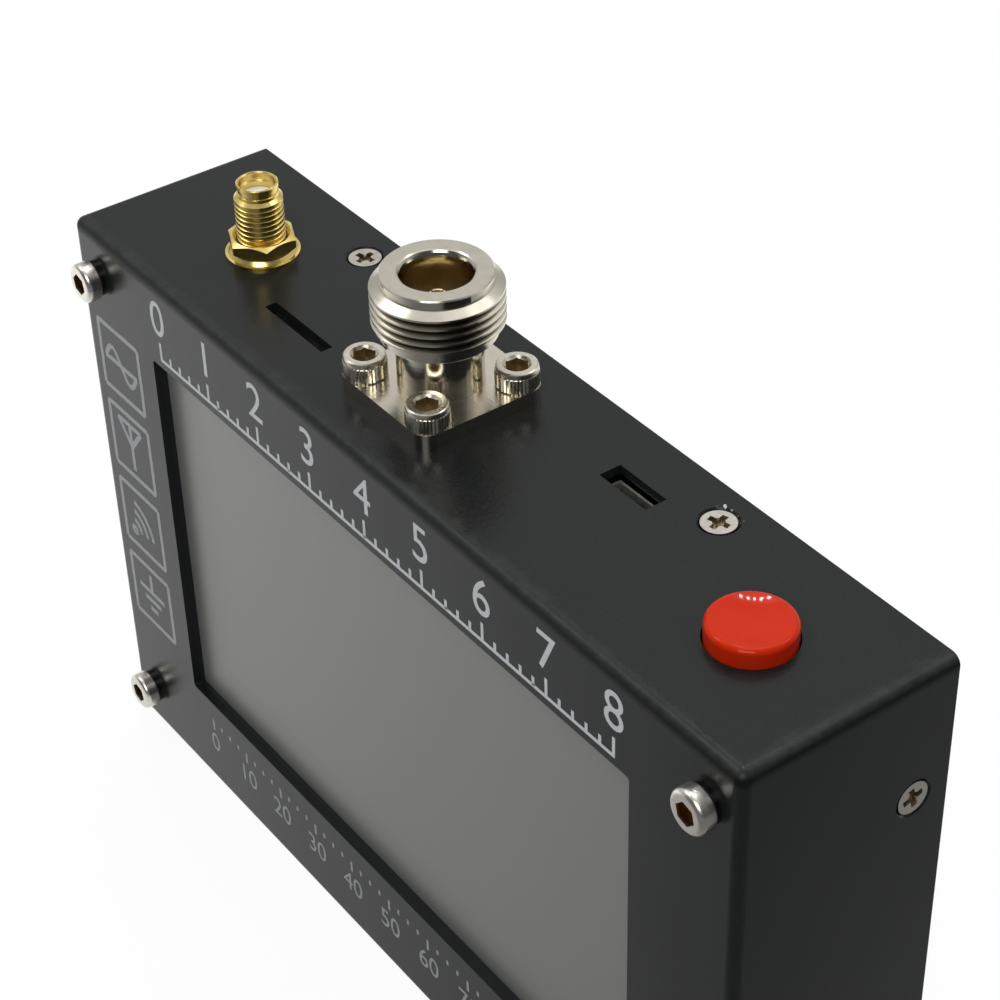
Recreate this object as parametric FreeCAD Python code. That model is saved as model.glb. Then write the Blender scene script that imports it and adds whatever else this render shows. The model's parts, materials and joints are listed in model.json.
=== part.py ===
import FreeCAD, Part
import math
import os

# Antenna analyzer, in millimetres. X runs along the width, seen from the front, Z is up.
# The screen faces -Y. The origin is the centre of the bottom face.

# case
body_width = 133.4
body_depth = 29.2
body_height = 84.9
sheet = 1.2
bend_radius = 1.3

# screen
window_x = 0.4
window_z = 43.9
window_width = 98.0
window_height = 56.0
window_corner = 0.5
gasket_thickness = 0.6
touch_thickness = 1.4
display_width = 105.6
display_height = 67.2
display_thickness = 2.9
foam_tape = 0.7

# boards
board_thickness = 1.6
board_gap = 9.45
board_half_width = 64.2
board_bottom = 2.6
board_top = 83.0

# screws
front_screw_x = 61.6
front_screw_low = 6.9
front_screw_high = 77.9
front_head_height = 2.3
front_head_radius = 2.7
front_washer_thickness = 0.5
front_washer_radius = 2.4
cover_screw_x = 34.5
cover_screw_low = 17.0
cover_screw_high = 67.9
cover_screw_inset = 4.9
cover_head_radius = 2.1
cover_sink_radius = 2.5

# large jack
jack_x = -4.2
jack_y = 0.15
flange_size = 17.7
flange_thickness = 2.0
flange_corner = 2.0
flange_pitch = 12.7
cap_head_radius = 2.67
cap_head_height = 2.8
hex_socket_flats = 2.6
neck_radius = 5.2
ring_radius = 7.0
ring_bottom = 8.55
jack_thread_radius = 15.7 / 2
jack_thread_pitch = 25.4 / 24
jack_thread_bottom = 10.0
jack_thread_top = jack_thread_bottom + 5 * jack_thread_pitch
lip_radius = 6.7
lip_bottom = 15.6
jack_height = 16.84
jack_bore = 4.15

# small jack
sma_x = -43.7
sma_y = 0.3
sma_thread_radius = 3.1
sma_pitch = 25.4 / 36
sma_thread_top = 8.2
sma_thread_bottom = sma_thread_top - 14 * sma_pitch
sma_height = 10.2
sma_nut_flats = 8.0
sma_nut_height = 1.95
sma_washer_radius = 4.8
sma_washer_thickness = 0.87

# power button
button_x = 51.2
button_y = -0.1
cap_radius = 5.05
cap_proud = 2.25
cap_hole_radius = 5.25
cap_bottom = 80.9
switch_top = 75.0
switch_bottom = 60.0

# slots in the top
card_x = -26.3
card_y = -5.58
card_width = 12.6
card_slot = 1.65
usb_x = 23.9
usb_y = 6.2
usb_opening_width = 8.15
usb_opening_depth = 3.0

# positions through the depth, worked out from the sizes above
front_face = -body_depth / 2
back_face = body_depth / 2
panel_back = front_face + sheet
touch_front = panel_back + gasket_thickness
display_front = touch_front + touch_thickness
display_back = display_front + display_thickness
display_board_front = display_back + foam_tape
display_board_back = display_board_front + board_thickness
main_board_front = display_board_back + board_gap
main_board_back = main_board_front + board_thickness
cover_inner = back_face - sheet
top_inner = body_height - sheet
gap = 0.15

X = FreeCAD.Vector(1, 0, 0)
Y = FreeCAD.Vector(0, 1, 0)
Z = FreeCAD.Vector(0, 0, 1)
os.makedirs("parts", exist_ok=True)


def point(x, y, z):
    return FreeCAD.Vector(x, y, z)


def save(node, shape):
    shape.exportStep("parts/" + node + ".step")


def block(x0, x1, y0, y1, z0, z1):
    return Part.makeBox(x1 - x0, y1 - y0, z1 - z0, point(x0, y0, z0))


def rod(x, y, z, radius, length, axis=Z):
    return Part.makeCylinder(radius, length, point(x, y, z), axis)


def group(shapes):
    return Part.makeCompound(shapes)


def edges_along(shape, axis, test=None):
    found = []
    for edge in shape.Edges:
        if len(edge.Vertexes) != 2 or edge.Curve.TypeId != "Part::GeomLine":
            continue
        direction = edge.Vertexes[1].Point - edge.Vertexes[0].Point
        direction.normalize()
        if abs(abs(direction.dot(axis)) - 1) > 1e-6:
            continue
        if test is None or test(edge.CenterOfMass):
            found.append(edge)
    return found


def rim_circles(shape, height):
    # round edges of a turned shape at one height
    circles = [edge for edge in shape.Edges if edge.Curve.TypeId == "Part::GeomCircle"]
    return [edge for edge in circles if abs(edge.CenterOfMass.z - height) < 0.01]


def rounded_block(x0, x1, y0, y1, z0, z1, radius, axis):
    solid = block(x0, x1, y0, y1, z0, z1)
    return solid.makeFillet(radius, edges_along(solid, axis))


def turned(profile, x, y, z):
    # profile is a list of (radius, height) corners, closed through the last point
    corners = [point(r, 0, h) for r, h in profile]
    corners.append(corners[0])
    face = Part.Face(Part.makePolygon(corners))
    solid = face.revolve(point(0, 0, 0), Z, 360)
    solid.translate(point(x, y, z))
    return solid


def thread_corners(radius, depth, bottom, top, pitch, crest=0.25):
    # one ring for each pitch, with flats at crest and root; crest is its flat's share of the pitch.
    # the last ring's upper flank is left to the profile's next corner
    corners = []
    root = 0.15
    flank = (1 - root - crest) / 2
    for turn in range(int(round((top - bottom) / pitch))):
        low = bottom + turn * pitch
        corners.append((radius - depth, low))
        corners.append((radius - depth, low + pitch * root))
        corners.append((radius, low + pitch * (root + flank)))
        corners.append((radius, low + pitch * (1 - flank)))
    return corners


def hexagon(flats, length, x=0, y=0, z=0, turn=0):
    corner = flats / math.sqrt(3)
    corners = []
    for side in range(7):
        angle = math.radians(turn + 60 * side)
        corners.append(point(x + corner * math.cos(angle), y + corner * math.sin(angle), z))
    return Part.Face(Part.makePolygon(corners)).extrude(point(0, 0, length))


def chamfered_hexagon(flats, length, turn=0):
    # nut shape with both ends of its corners turned off
    corner = flats / math.sqrt(3)
    edge = (corner - flats / 2) * 1.25
    drop = edge * 0.6
    profile = [(0, 0), (corner - edge, 0), (corner, drop), (corner, length - drop)]
    profile = profile + [(corner - edge, length), (0, length)]
    return hexagon(flats, length, turn=turn).common(turned(profile, 0, 0, 0))


def aimed(shape, x, y, z, axis):
    # turns a shape built along +Z to run along axis, then moves it
    result = shape.copy()
    result.Placement = FreeCAD.Placement(point(x, y, z), FreeCAD.Rotation(Z, axis))
    return result


def cable(corners, radius):
    # round lead: straight runs joined by tangent arcs, as large as the runs allow
    edges = []
    start = corners[0]
    for before, corner, after in zip(corners, corners[1:], corners[2:]):
        back = before - corner
        ahead = after - corner
        reach = 0.45 * min(back.Length, ahead.Length)
        half_turn = (math.pi - back.getAngle(ahead)) / 2
        bend = reach / math.tan(half_turn)
        back.normalize()
        ahead.normalize()
        inward = back + ahead
        inward.normalize()
        entry = corner + back * reach
        middle = corner + inward * (math.hypot(reach, bend) - bend)
        leave = corner + ahead * reach
        edges.append(Part.LineSegment(start, entry).toShape())
        edges.append(Part.Arc(entry, middle, leave).toShape())
        start = leave
    edges.append(Part.LineSegment(start, corners[-1]).toShape())
    ring = Part.Wire(Part.makeCircle(radius, corners[0], corners[1] - corners[0]))
    return Part.Wire(edges).makePipeShell([ring], True, True)


# front shell: five-sided folded box, open at the back
outer = block(-body_width / 2, body_width / 2, front_face, back_face, 0, body_height)
outer_edges = edges_along(outer, Y)
outer_edges += edges_along(outer, X, lambda c: c.y < 0)
outer_edges += edges_along(outer, Z, lambda c: c.y < 0)
outer = outer.makeFillet(bend_radius, outer_edges)
half_inside = body_width / 2 - sheet
inner = block(-half_inside, half_inside, panel_back, back_face + 5, sheet, top_inner)
shell = outer.cut(inner)

window_left = window_x - window_width / 2
window_right = window_x + window_width / 2
window_low = window_z - window_height / 2
window_high = window_z + window_height / 2
shell_cuts = [rounded_block(window_left, window_right, front_face - 1, panel_back + 1,
                            window_low, window_high, window_corner, Y)]

front_screw_spots = []
for side in (-1, 1):
    for height in (front_screw_low, front_screw_high):
        front_screw_spots.append((side * front_screw_x, height))
for x, z in front_screw_spots:
    shell_cuts.append(rod(x, front_face - 1, z, 1.6, sheet + 2, Y))

# each cover screw is (head centre, direction into the case)
screw_y = back_face - cover_screw_inset
cover_screw_spots = []
for side in (-1, 1):
    cover_screw_spots.append((point(side * cover_screw_x, screw_y, body_height), -Z))
    cover_screw_spots.append((point(side * cover_screw_x, screw_y, 0), Z))
    for height in (cover_screw_low, cover_screw_high):
        cover_screw_spots.append((point(side * body_width / 2, screw_y, height), X * -side))
for spot, inward in cover_screw_spots:
    sink_depth = cover_sink_radius - 1.35
    sink = Part.makeCone(cover_sink_radius, 1.35, sink_depth, spot, inward)
    shell_cuts.append(sink)
    shell_cuts.append(Part.makeCylinder(1.35, 3, spot, inward))

flange_spots = []
for side_x in (-1, 1):
    for side_y in (-1, 1):
        spot_x = jack_x + side_x * flange_pitch / 2
        spot_y = jack_y + side_y * flange_pitch / 2
        flange_spots.append((spot_x, spot_y))
for x, y in flange_spots:
    shell_cuts.append(rod(x, y, top_inner - 1, 1.6, sheet + 2))
shell_cuts.append(rod(jack_x, jack_y, top_inner - 1, 5.5, sheet + 2))
shell_cuts.append(rod(sma_x, sma_y, top_inner - 1, 3.25, sheet + 2))
shell_cuts.append(rod(button_x, button_y, top_inner - 1, cap_hole_radius, sheet + 2))
shell_cuts.append(block(card_x - card_width / 2, card_x + card_width / 2,
                        card_y - card_slot / 2, card_y + card_slot / 2,
                        top_inner - 1, body_height + 1))
shell_cuts.append(block(usb_x - usb_opening_width / 2, usb_x + usb_opening_width / 2,
                        usb_y - usb_opening_depth / 2, usb_y + usb_opening_depth / 2,
                        top_inner - 1, body_height + 1))
save("front_shell", shell.cut(shell_cuts))

# back cover: plate flush with the shell's rim, with a folded tab at every cover screw
cover_half = half_inside - gap
cover_low = sheet + gap
cover_high = top_inner - gap
tab_half = 5.5
tab_depth = 8.0
plate = rounded_block(-cover_half, cover_half, cover_inner, back_face, cover_low, cover_high, 0.65, Y)
tabs = []
reliefs = []
for side in (-1, 1):
    centre = side * cover_screw_x
    tab_left = centre - tab_half
    tab_right = centre + tab_half
    for low, high in ((cover_low, cover_low + sheet), (cover_high - sheet, cover_high)):
        tabs.append(block(tab_left, tab_right, cover_inner - tab_depth, back_face, low, high))
    for edge in (tab_left - 1, tab_right):
        reliefs.append(block(edge, edge + 1, cover_inner - 1, back_face + 1, cover_low - 1, cover_low + 2))
        reliefs.append(block(edge, edge + 1, cover_inner - 1, back_face + 1, cover_high - 2, cover_high + 1))
    outer_x = side * cover_half
    inner_x = side * (cover_half - sheet)
    relief_x = side * (cover_half - 2)
    beyond_x = side * (cover_half + 1)
    for height in (cover_screw_low, cover_screw_high):
        tabs.append(block(min(outer_x, inner_x), max(outer_x, inner_x), cover_inner - tab_depth,
                          back_face, height - tab_half, height + tab_half))
        for edge in (height - tab_half - 1, height + tab_half):
            reliefs.append(block(min(relief_x, beyond_x), max(relief_x, beyond_x),
                                 cover_inner - 1, back_face + 1, edge, edge + 1))
cover = plate.cut(reliefs).fuse(tabs).removeSplitter()


def is_bend(centre):
    on_back = abs(centre.y - back_face) < 0.01
    at_top = min(abs(centre.z - cover_low), abs(centre.z - cover_high)) < 0.01
    near_top_tab = abs(abs(centre.x) - cover_screw_x) < 0.01
    at_side = abs(abs(centre.x) - cover_half) < 0.01
    near_side_tab = min(abs(centre.z - cover_screw_low), abs(centre.z - cover_screw_high)) < 0.01
    return on_back and ((at_top and near_top_tab) or (at_side and near_side_tab))


bends = edges_along(cover, X, is_bend) + edges_along(cover, Z, is_bend)
cover = cover.makeFillet(1.1, bends)
cover_holes = [Part.makeCylinder(1.35, 5, spot, inward) for spot, inward in cover_screw_spots]
save("back_cover", cover.cut(cover_holes))

# weld nuts inside the tabs
nut = hexagon(5.0, 2.0).cut(rod(0, 0, -1, 1.3, 4))
nut_depth = sheet + gap + sheet
weld_nuts = []
for spot, inward in cover_screw_spots:
    seat = spot + inward * nut_depth
    weld_nuts.append(aimed(nut, seat.x, seat.y, seat.z, inward))
save("weld_nuts", group(weld_nuts))

# cover screws: countersunk, cross recess, head just under the sheet's surface
head_drop = cover_head_radius - 1.2
cover_screw = turned([(0, 0.1), (cover_head_radius, 0.1), (cover_head_radius, 0.2),
                      (1.2, head_drop + 0.2), (1.2, 5.0), (0, 5.0)], 0, 0, 0)
cross = block(-1.35, 1.35, -0.4, 0.4, 0, 0.8)
cross = cross.fuse(block(-0.4, 0.4, -1.35, 1.35, 0, 0.8))
cross = cross.fuse(Part.makeCone(0.8, 0.1, 1.3))
cover_screw = cover_screw.cut(cross)
cover_screws = []
for spot, inward in cover_screw_spots:
    turned_screw = cover_screw.copy()
    turned_screw.rotate(point(0, 0, 0), Z, -15)
    holder = group([turned_screw])
    cover_screws.append(aimed(holder, spot.x, spot.y, spot.z, inward))
save("cover_screws", group(cover_screws))

# front screws and the washers under their heads, screwed into the front standoffs
front_screws = []
front_washers = []
washer_front = front_face - front_washer_thickness
socket = hexagon(hex_socket_flats, 1.4, turn=15)
for x, z in front_screw_spots:
    head = rod(0, 0, 0, front_head_radius, front_head_height)
    head = head.makeFillet(0.7, rim_circles(head, 0))
    head = head.makeChamfer(0.35, rim_circles(head, front_head_height)).cut(socket)
    screw = head.fuse(rod(0, 0, front_head_height, 1.45, 4.6)).removeSplitter()
    front_screws.append(aimed(screw, x, washer_front - front_head_height, z, Y))
    ring = rod(x, washer_front, z, front_washer_radius, front_washer_thickness, Y)
    front_washers.append(ring.cut(rod(x, washer_front - 1, z, 1.55, 3, Y)))
save("front_screws", group(front_screws))
save("front_washers", group(front_washers))

# display stack
display_left = window_x - display_width / 2
display_right = window_x + display_width / 2
display_low = window_z - display_height / 2
display_high = window_z + display_height / 2
gasket = block(display_left, display_right, panel_back, touch_front, display_low, display_high)
gasket = gasket.cut(block(window_left, window_right, panel_back - 1, touch_front + 1,
                          window_low, window_high))
save("screen_gasket", gasket)
save("touch_panel", rounded_block(display_left, display_right, touch_front, display_front,
                                  display_low, display_high, 0.8, Y))

frame = block(display_left, display_right, display_front, display_back, display_low, display_high)
frame = frame.cut(block(display_left + 0.3, display_right - 0.3, display_front + 0.2,
                        display_back - 0.3, display_low + 0.3, display_high - 0.3))
frame = frame.cut(block(window_left - 0.5, window_right + 0.5, display_front - 1,
                        display_front + 0.5, window_low - 0.5, window_high + 0.5))
ribbon_half = 15.0
ribbon_x = -18.0
frame = frame.cut(block(ribbon_x - ribbon_half - 0.5, ribbon_x + ribbon_half + 0.5,
                        display_front + 1.1, display_front + 1.9, display_low - 1, display_low + 0.4))
save("display_frame", frame)
glass_back = display_front + 1.3
save("display_glass", block(display_left + 0.5, display_right - 0.5, display_front + 0.25, glass_back,
                            display_low + 0.5, display_high - 0.5))
save("backlight", block(display_left + 0.5, display_right - 0.5, glass_back + 0.4, display_back - 0.35,
                        display_low + 0.5, display_high - 0.5))
save("display_tape", block(display_left + 3, display_right - 3, display_back, display_board_front,
                           display_low + 4, display_high - 4))

# display board, with a notch for the large jack's nuts and a slot for the ribbons
touch_ribbon_x = 20.0
touch_ribbon_half = 4.0
display_board = rounded_block(-board_half_width, board_half_width, display_board_front,
                              display_board_back, board_bottom, board_top, 1.5, Y)
board_cuts = [block(jack_x - 10.5, jack_x + 10.5, display_board_front - 1, display_board_back + 1,
                    77.8, board_top + 1)]
board_cuts.append(block(ribbon_x - ribbon_half - 1, ribbon_x + ribbon_half + 1,
                        display_board_front - 1, display_board_back + 1, 4.4, 7.6))
board_cuts.append(block(touch_ribbon_x - touch_ribbon_half - 1, touch_ribbon_x + touch_ribbon_half + 1,
                        display_board_front - 1, display_board_back + 1, 4.4, 7.6))
for x, z in front_screw_spots:
    board_cuts.append(rod(x, display_board_front - 1, z, 1.6, 4, Y))
save("display_board", display_board.cut(board_cuts))


def ribbon(x, half, start_y, start_z, end_y, end_z):
    # thin strip, folded in a half circle under the display board's edge
    radius = (end_y - start_y) / 2
    turn_z = 8.0
    middle = point(x - half, start_y + radius, turn_z - radius)
    down = Part.makeLine(point(x - half, start_y, start_z), point(x - half, start_y, turn_z))
    bend = Part.Arc(point(x - half, start_y, turn_z), middle, point(x - half, end_y, turn_z)).toShape()
    up = Part.makeLine(point(x - half, end_y, turn_z), point(x - half, end_y, end_z))
    path = Part.Wire([down, bend, up])
    corners = [point(x - half, start_y - 0.1, start_z), point(x + half, start_y - 0.1, start_z)]
    corners += [point(x + half, start_y + 0.1, start_z), point(x - half, start_y + 0.1, start_z)]
    corners.append(corners[0])
    return path.makePipeShell([Part.makePolygon(corners)], True, True)


strip_y = display_board_back + 1.2
connector_low = 11.0
connector_high = 14.5
save("display_ribbon", ribbon(ribbon_x, ribbon_half, glass_back + 0.2, display_low + 0.6, strip_y,
                              connector_low + 2))
save("touch_ribbon", ribbon(touch_ribbon_x, touch_ribbon_half, display_front - 0.3, display_low,
                            strip_y, connector_low + 2))
connectors = []
for x, half in ((ribbon_x, ribbon_half), (touch_ribbon_x, touch_ribbon_half)):
    housing = block(x - half - 1.5, x + half + 1.5, display_board_back, display_board_back + 2.0,
                    connector_low, connector_high)
    mouth = block(x - half - 0.2, x + half + 0.2, strip_y - 0.2, strip_y + 0.2,
                  connector_low - 1, connector_low + 2.2)
    connectors.append(housing.cut(mouth))
save("ribbon_connectors", group(connectors))

# card socket: thin metal cover on the back of the display board, mouth at the top slot
card_low = board_top - 14.5
card_high = top_inner - 0.2
card_half = card_width / 2 + 0.9
card_back = card_y + card_slot / 2 + 0.4
card_socket = block(card_x - card_half, card_x + card_half, display_board_back, card_back,
                    card_low, board_top)
card_socket = card_socket.fuse(block(card_x - card_half, card_x + card_half, card_back - 0.3,
                                     card_back, board_top - 1, card_high))
card_hollow = block(card_x - card_width / 2, card_x + card_width / 2, card_y - 0.5,
                    card_back - 0.3, card_low + 1.5, board_top + 2)
save("card_socket", card_socket.cut(card_hollow).removeSplitter())

# controller chip on the display board
chip_x = 30.0
chip_z = 42.0
chip_half = 7.0
chip_front = display_board_back + 0.1
chip_body = block(chip_x - chip_half, chip_x + chip_half, chip_front, chip_front + 1.4,
                  chip_z - chip_half, chip_z + chip_half)
save("controller_chip", chip_body.makeChamfer(0.3, edges_along(chip_body, Y)))
legs = []
for index in range(12):
    offset = (index - 5.5) * 1.0
    for side in (-1, 1):
        start = side * chip_half
        end = side * (chip_half + 1.0)
        low = min(start, end)
        high = max(start, end)
        legs.append(block(chip_x + low, chip_x + high, display_board_back, display_board_back + 0.2,
                          chip_z + offset - 0.15, chip_z + offset + 0.15))
        legs.append(block(chip_x + offset - 0.15, chip_x + offset + 0.15, display_board_back,
                          display_board_back + 0.2, chip_z + low, chip_z + high))
save("controller_legs", group(legs))

# standoffs: the front ones carry the display board, the rear ones the main board
stud_length = 4.0
front_standoffs = []
rear_standoffs = []
board_screws = []
front_length = display_board_front - panel_back
for x, z in front_screw_spots:
    tube = hexagon(5.5, front_length, turn=30).cut(rod(0, 0, -1, 1.5, front_length + 2))
    front_standoffs.append(aimed(tube, x, panel_back, z, Y))
    post = hexagon(5.5, board_gap, turn=30).cut(rod(0, 0, board_gap - 6, 1.5, 7))
    post = post.fuse(rod(0, 0, -stud_length, 1.45, stud_length + 0.5))
    rear_standoffs.append(aimed(post, x, display_board_back, z, Y))
    head = rod(0, 0, 0, 2.75, 1.8).cut(block(-1.5, 1.5, -0.35, 0.35, 1.0, 2))
    head = head.cut(block(-0.35, 0.35, -1.5, 1.5, 1.0, 2))
    head = head.fuse(rod(0, 0, -6.5, 1.45, 6.6))
    board_screws.append(aimed(head, x, main_board_back, z, Y))
save("front_standoffs", group(front_standoffs))
save("rear_standoffs", group(rear_standoffs))
save("board_screws", group(board_screws))

# main board, cut away under both jacks and the button
main_board = rounded_block(-board_half_width, board_half_width, main_board_front, main_board_back,
                           board_bottom, board_top, 1.5, Y)
main_cuts = [block(-55, 8, main_board_front - 1, main_board_back + 1, 68, board_top + 1)]
main_cuts.append(block(button_x - 6.2, button_x + 6.2, main_board_front - 1, main_board_back + 1,
                       switch_top + 1.5, board_top + 1))
for x, z in front_screw_spots:
    main_cuts.append(rod(x, main_board_front - 1, z, 1.6, 4, Y))
switch_pin_spots = []
for offset in (-2.3, 0, 2.3):
    for height in (63.0, 69.0):
        switch_pin_spots.append((button_x + offset, height))
for x, z in switch_pin_spots:
    main_cuts.append(rod(x, main_board_front - 1, z, 0.5, 4, Y))
save("main_board", main_board.cut(main_cuts))

# header joining the two boards
header_z = 20.0
header_count = 10
header_left = -header_count * 1.27
header_right = header_count * 1.27
socket_back = main_board_front - 2.55
pin_spots = [(index + 0.5 - header_count / 2) * 2.54 for index in range(header_count)]
header_socket = block(header_left, header_right, display_board_back, socket_back,
                      header_z - 1.25, header_z + 1.25)
header_base = block(header_left, header_right, socket_back + 0.05, main_board_front,
                    header_z - 1.25, header_z + 1.25)
pin_holes = []
pins = []
for x in pin_spots:
    pin_holes.append(block(x - 0.4, x + 0.4, display_board_back + 0.5, main_board_front + 1,
                           header_z - 0.4, header_z + 0.4))
    pins.append(block(x - 0.32, x + 0.32, socket_back - 5.5, main_board_front,
                      header_z - 0.32, header_z + 0.32))
save("header_socket", header_socket.cut(pin_holes))
save("header_base", header_base.cut(pin_holes))
save("header_pins", group(pins))

# shield can with the signal chips under it, and the power parts on the back
shield = block(-42, -2, main_board_front - 3, main_board_front, 30, 60)
shield = shield.cut(block(-41.8, -2.2, main_board_front - 2.8, main_board_front + 1, 30.2, 59.8))
save("shield_can", shield)
signal_chips = []
for x, z, half in ((-32, 45, 3.5), (-18, 52, 2.5), (-18, 38, 2.5), (-8, 45, 2.0)):
    signal_chips.append(block(x - half, x + half, main_board_front - 1.0, main_board_front,
                              z - half, z + half))
save("signal_chips", group(signal_chips))
power_parts = []
for x, z, half, rise in ((33, 62, 3.0, 2.4), (42, 62, 2.0, 1.4), (33, 54, 1.6, 1.2), (50, 50, 2.4, 1.6)):
    power_parts.append(block(x - half, x + half, main_board_back, main_board_back + rise,
                             z - half, z + half))
save("power_parts", group(power_parts))

# charging socket on the back of the main board
usb_low = 78.0
usb_high = top_inner - 0.6
usb_half = 3.75
usb_front = main_board_back
usb_back = usb_front + 2.6
usb_shell = block(usb_x - usb_half, usb_x + usb_half, usb_front, usb_back, usb_low, usb_high)
usb_shell = usb_shell.makeChamfer(0.8, edges_along(usb_shell, Z, lambda c: c.y < usb_front + 1))
usb_hollow = block(usb_x - usb_half + 0.3, usb_x + usb_half - 0.3, usb_front + 0.3, usb_back - 0.3,
                   usb_low + 0.3, usb_high + 1)
usb_hollow = usb_hollow.makeChamfer(0.7, edges_along(usb_hollow, Z, lambda c: c.y < usb_front + 1))
save("usb_shell", usb_shell.cut(usb_hollow))
tongue = block(usb_x - 1.9, usb_x + 1.9, usb_back - 1.55, usb_back - 1.0, usb_low + 1.2, usb_high - 0.6)
heel = block(usb_x - 2.6, usb_x + 2.6, usb_front + 0.35, usb_back - 0.35, usb_low + 0.35, usb_low + 1.4)
save("usb_tongue", tongue.fuse(heel).removeSplitter())

# power switch, lying on the front of the main board
switch_half = 3.35
switch_body = block(button_x - switch_half, button_x + switch_half, button_y - switch_half,
                    main_board_front, switch_bottom, switch_top)
switch_body = switch_body.cut(block(button_x - 1.65, button_x + 1.65, button_y - 1.65, button_y + 1.65,
                                    switch_bottom + 2, switch_top + 1))
save("switch_body", switch_body)
switch_pins = [rod(x, main_board_front, z, 0.35, 3.0, Y) for x, z in switch_pin_spots]
save("switch_pins", group(switch_pins))
plunger_top = body_height - 0.4
save("switch_plunger", block(button_x - 1.5, button_x + 1.5, button_y - 1.5, button_y + 1.5,
                             switch_bottom + 5, plunger_top))

# return spring between the switch body and the cap
wire_radius = 0.2
spring_low = switch_top + 0.02 + wire_radius
spring_high = cap_bottom - 0.02 - wire_radius
spring_radius = 2.5
coil = Part.makeHelix((spring_high - spring_low) / 5, spring_high - spring_low, spring_radius)
section = []
for side in range(9):
    angle = math.radians(45 * side)
    section.append(point(spring_radius + wire_radius * math.cos(angle), 0, wire_radius * math.sin(angle)))
spring = Part.Wire(coil).makePipeShell([Part.makePolygon(section)], True, True)
spring.translate(point(button_x, button_y, spring_low))
save("switch_spring", spring)

# red cap: dished top with a rounded rim, hollow under, pressed on the plunger
cap_top = body_height + cap_proud
cap = rod(button_x, button_y, cap_bottom, cap_radius, cap_top - cap_bottom)
cap = cap.makeFillet(0.7, rim_circles(cap, cap_top))
dish_radius = 4.3
dish_depth = 0.45
ball_radius = (dish_radius ** 2 + dish_depth ** 2) / (2 * dish_depth)
ball = Part.makeSphere(ball_radius, point(button_x, button_y, cap_top - dish_depth + ball_radius))
cap = cap.cut(ball)
hollow = rod(button_x, button_y, cap_bottom - 1, 4.0, body_height - 0.4 - cap_bottom + 1)
hollow = hollow.cut(rod(button_x, button_y, cap_bottom, 3.0, 10))
cap = cap.cut(hollow)
cap = cap.cut(block(button_x - 1.52, button_x + 1.52, button_y - 1.52, button_y + 1.52,
                    cap_bottom - 1, plunger_top + 0.02))
save("button_cap", cap)

# battery taped to the back cover, with its leads and plug
battery_front = 7.8
battery_back = cover_inner - 0.4
battery = block(-42, 22, battery_front, battery_back, 12, 58)
save("battery", battery.makeFillet(1.6, edges_along(battery, Z) + edges_along(battery, X)))
save("battery_tape", block(-38, 18, battery_back, cover_inner, 16, 54))
battery_socket_x = 42.0
socket_low = 34.0
outer_socket = block(battery_socket_x - 4, battery_socket_x + 4, main_board_back,
                     main_board_back + 5.0, socket_low, socket_low + 6)
inner_socket = block(battery_socket_x - 3.2, battery_socket_x + 3.2, main_board_back + 0.8,
                     main_board_back + 4.2, socket_low + 1, socket_low + 7)
save("battery_socket", outer_socket.cut(inner_socket))
plug_top = socket_low + 7.5
save("battery_plug", block(battery_socket_x - 3.1, battery_socket_x + 3.1, main_board_back + 0.9,
                           main_board_back + 4.1, socket_low + 1.1, plug_top))
lead_y = main_board_back + 2.5
lead_radius = 0.6
for node, offset in (("battery_lead_positive", 1.2), ("battery_lead_negative", -1.2)):
    route = [point(22.05, 10.4, 50 + offset)]
    route.append(point(31, 10.4, 50 + offset))
    route.append(point(battery_socket_x + offset, lead_y, 52 + offset))
    route.append(point(battery_socket_x + offset, lead_y, plug_top + 0.05))
    save(node, cable(route, lead_radius))

# large jack: one turned body with a square flange
flange_half = flange_size / 2
flange = rounded_block(jack_x - flange_half, jack_x + flange_half, jack_y - flange_half,
                       jack_y + flange_half, body_height, body_height + flange_thickness,
                       flange_corner, Z)
jack_profile = [(0, -3.2), (5.4, -3.2), (5.4, 0), (5.4, flange_thickness - 0.5)]
jack_profile += [(neck_radius, flange_thickness - 0.5), (neck_radius, ring_bottom)]
jack_profile += [(ring_radius - 0.3, ring_bottom), (ring_radius, ring_bottom + 0.3)]
jack_profile += [(ring_radius, jack_thread_bottom)]
jack_profile += thread_corners(jack_thread_radius, 0.65, jack_thread_bottom, jack_thread_top,
                               jack_thread_pitch)
jack_profile += [(lip_radius, lip_bottom), (lip_radius, jack_height - 0.15)]
jack_profile += [(lip_radius - 0.15, jack_height), (0, jack_height)]
jack = turned(jack_profile, jack_x, jack_y, body_height).fuse(flange)
bore_profile = [(0, -4), (2.2, -4), (2.2, 2.0), (jack_bore, 2.0), (jack_bore, jack_height - 0.65)]
bore_profile += [(jack_bore + 0.12, jack_height - 0.35), (jack_bore + 0.3, jack_height - 0.12)]
bore_profile += [(jack_bore + 0.5, jack_height), (jack_bore + 0.5, jack_height + 1)]
bore_profile += [(0, jack_height + 1)]
jack = jack.cut(turned(bore_profile, jack_x, jack_y, body_height))
jack = jack.cut([rod(x, y, body_height - 1, 1.6, 5) for x, y in flange_spots])
save("jack_body", jack.removeSplitter())
insulator_top = jack_height - 9.0
insulator_profile = [(0, -4.5), (2.15, -4.5), (2.15, 2.05), (jack_bore - 0.05, 2.05)]
insulator_profile += [(jack_bore - 0.05, insulator_top), (0, insulator_top)]
insulator = turned(insulator_profile, jack_x, jack_y, body_height)
insulator = insulator.cut(rod(jack_x, jack_y, body_height - 6, 1.2, 20))
save("jack_insulator", insulator)
contact_top = jack_height - 3.2
contact_profile = [(0, -7.5), (1.15, -7.5), (1.15, insulator_top + 0.1)]
contact_profile += [(1.5, insulator_top + 0.1), (1.5, contact_top - 0.8), (1.35, contact_top - 0.3)]
contact_profile += [(1.05, contact_top), (0, contact_top)]
contact = turned(contact_profile, jack_x, jack_y, body_height)
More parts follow.
